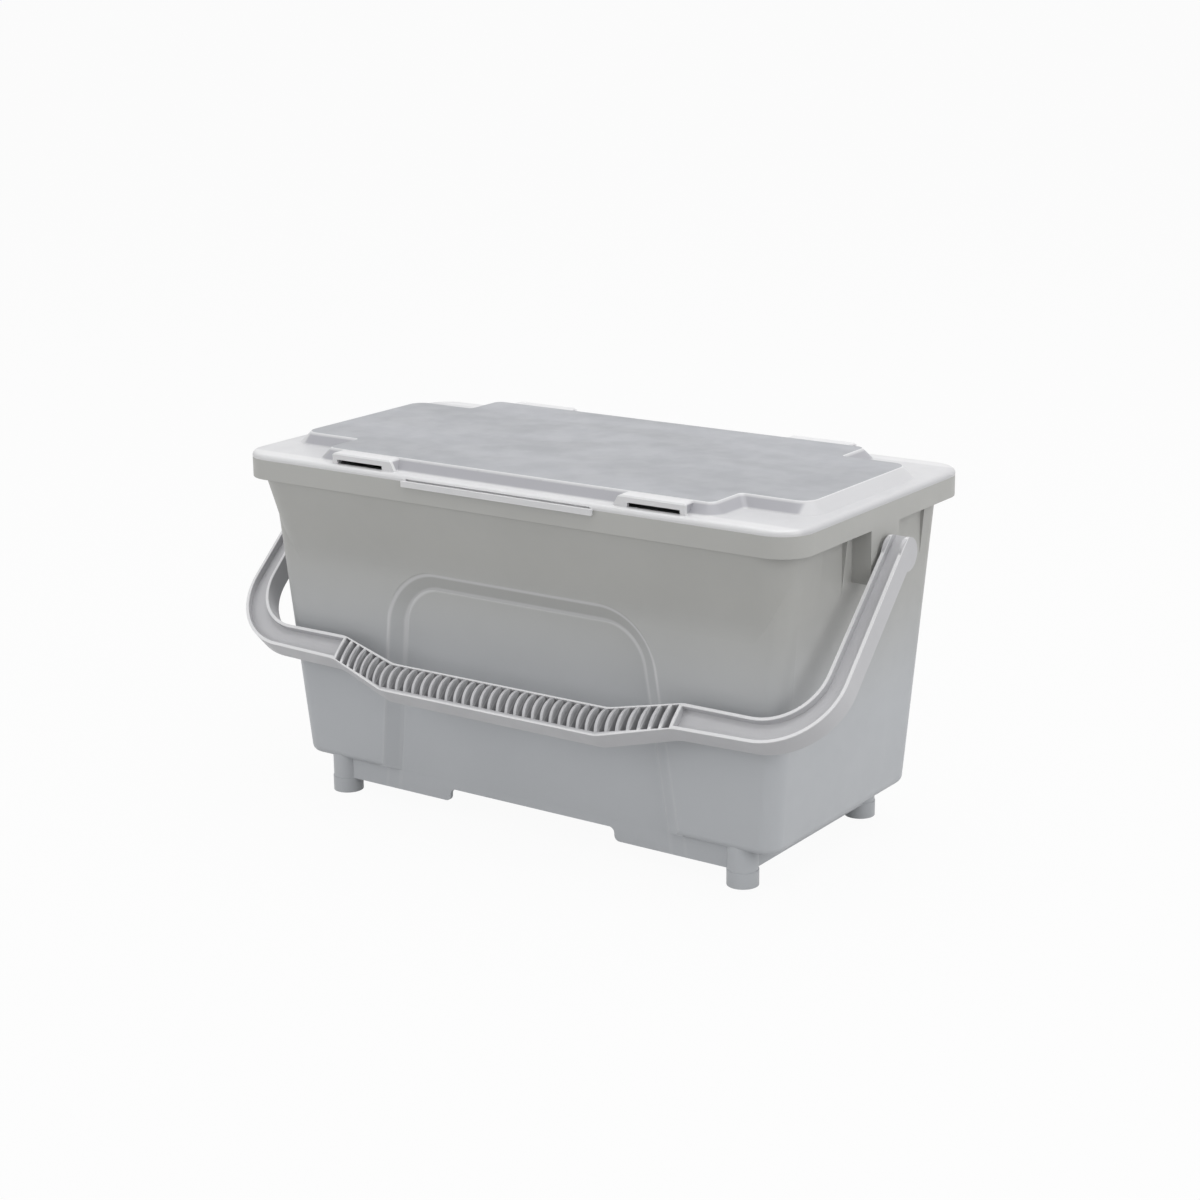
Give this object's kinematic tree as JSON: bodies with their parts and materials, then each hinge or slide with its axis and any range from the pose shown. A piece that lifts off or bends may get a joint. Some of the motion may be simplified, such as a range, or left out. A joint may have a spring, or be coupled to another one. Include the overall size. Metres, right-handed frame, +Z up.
{
  "type": "window cleaning bucket",
  "caption": "Rectangular moulded bucket with a flared front, arched recess, round feet, thin stepped lid and a swinging channel-section bail with a ribbed grip.",
  "frame": {"origin": "floor point midway between the four feet, under the tub's centre", "axes": "+X along the length, -Y towards the front wall that the bail rests on, +Z up"},
  "size_m": [0.5766, 0.2878, 0.302],
  "materials": {
    "tub": "matt light grey polypropylene",
    "lid": "thin translucent natural polypropylene",
    "bail": "satin light grey polypropylene"
  },
  "bodies": {
    "tub": {"tub": "tub"},
    "lid": {"lid": "lid"},
    "bail": {"bail_handle": "bail"}
  },
  "joints": [
    {"name": "bail_swing", "type": "hinge", "parent": "tub", "child": "bail", "pos_m": [0, 0, 0.252], "axis": [-1, 0, 0], "range_deg": [0, 264]},
    {"name": "lid_lift", "type": "slide", "parent": "tub", "child": "lid", "axis": [0, 0, 1], "range_m": [0, 0.06]}
  ]
}
